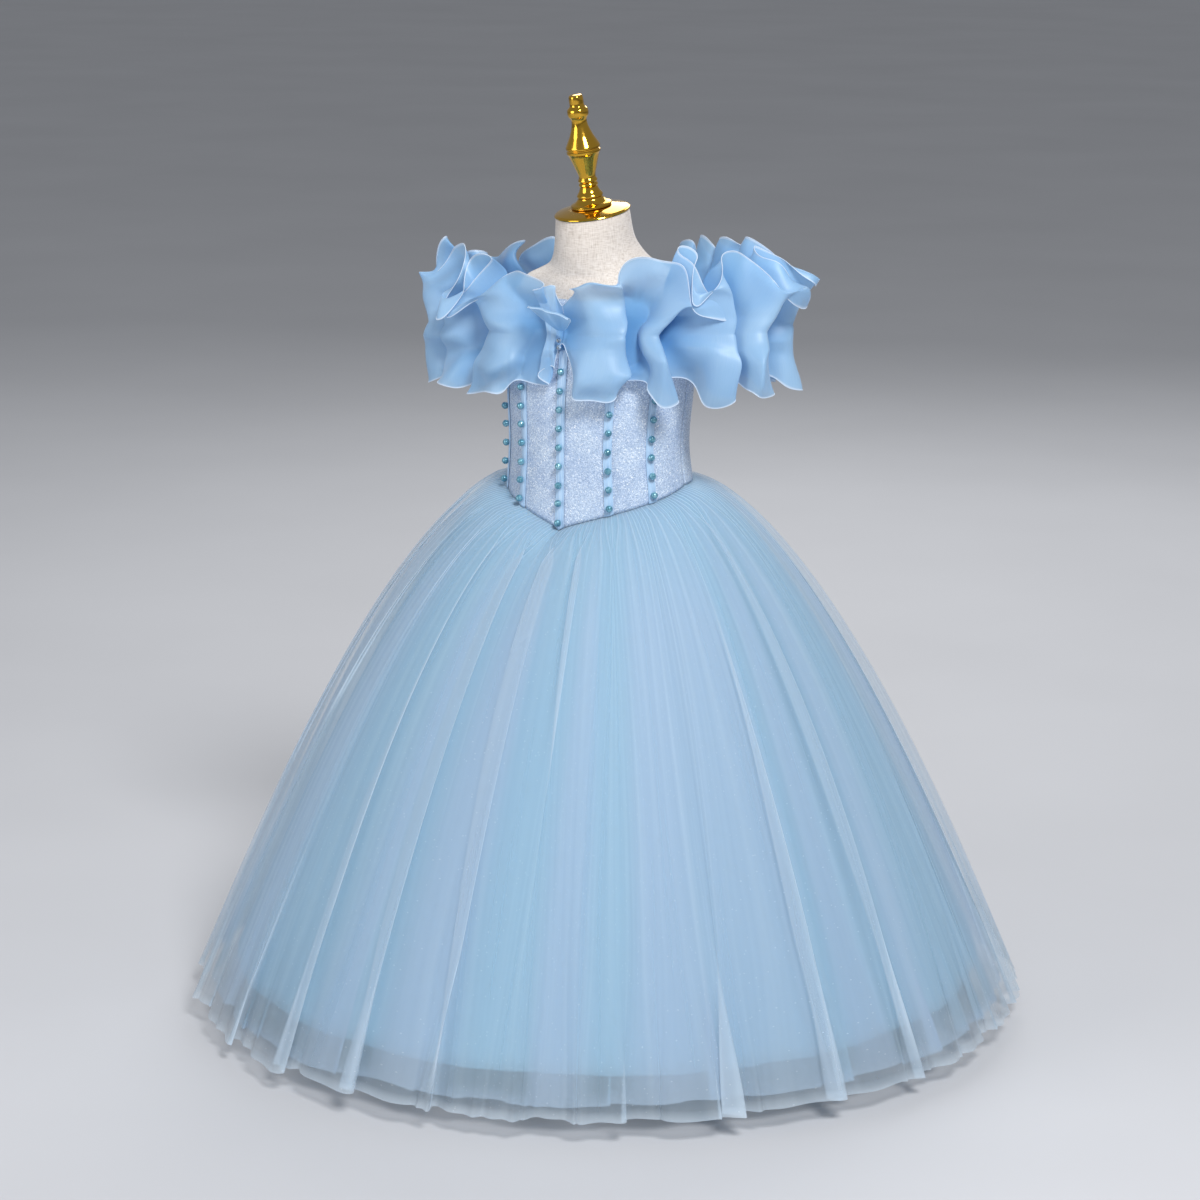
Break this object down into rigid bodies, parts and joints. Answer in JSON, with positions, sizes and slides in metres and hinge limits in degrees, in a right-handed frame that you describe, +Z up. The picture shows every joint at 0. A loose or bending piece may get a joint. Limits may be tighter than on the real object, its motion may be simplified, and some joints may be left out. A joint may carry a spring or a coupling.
{
  "type": "child's ball gown on a dress form",
  "caption": "Off-shoulder ball gown with a ruffled neckline, pearl-set basque bodice and full tulle skirt, worn by a limbless dress form on a stand.",
  "frame": {"origin": "middle of the flat underside of the stand's base, on the floor", "axes": "+Z up; the gown faces -Y; +X is the wearer's left"},
  "size_m": [0.8564, 0.8576, 0.9285],
  "materials": {
    "linen": "off-white linen jersey over a padded form",
    "gold_metal": "polished gold plate",
    "stand_metal": "satin paint",
    "glitter_cloth": "pale silver-blue glitter cloth",
    "ribbon": "pale blue satin ribbon set with pearl beads",
    "crystal": "clear faceted stones in a metal setting",
    "organza": "sky-blue organza, sheer and crisp",
    "tulle": "pale blue tulle, sheer, with fine glitter",
    "lining_satin": "pale blue satin"
  },
  "bodies": {
    "root": {"form_torso": "linen", "neck_cap": "gold_metal", "finial": "gold_metal", "stand_pole": "stand_metal", "stand_base": "stand_metal", "bodice_front_centre_left": "glitter_cloth", "bodice_front_centre_right": "glitter_cloth", "bodice_front_side_left": "glitter_cloth", "bodice_front_side_right": "glitter_cloth", "bodice_side_left": "glitter_cloth", "bodice_side_right": "glitter_cloth", "bodice_back_left": "glitter_cloth", "bodice_back_right": "glitter_cloth", "ribbon_centre": "ribbon", "ribbon_left_1": "ribbon", "ribbon_left_2": "ribbon", "ribbon_right_1": "ribbon", "ribbon_right_2": "ribbon", "centre_stones": "crystal", "shoulder_band_left": "organza", "shoulder_band_right": "organza", "ruffle_front_left": "organza", "ruffle_front_right": "organza", "ruffle_back_left": "organza", "ruffle_back_right": "organza", "tulle_outer_front": "tulle", "tulle_outer_left": "tulle", "tulle_outer_back": "tulle", "tulle_outer_right": "tulle", "tulle_inner_front": "tulle", "tulle_inner_left": "tulle", "tulle_inner_back": "tulle", "tulle_inner_right": "tulle", "lining_front": "lining_satin", "lining_left": "lining_satin", "lining_back": "lining_satin", "lining_right": "lining_satin"}
  },
  "joints": []
}
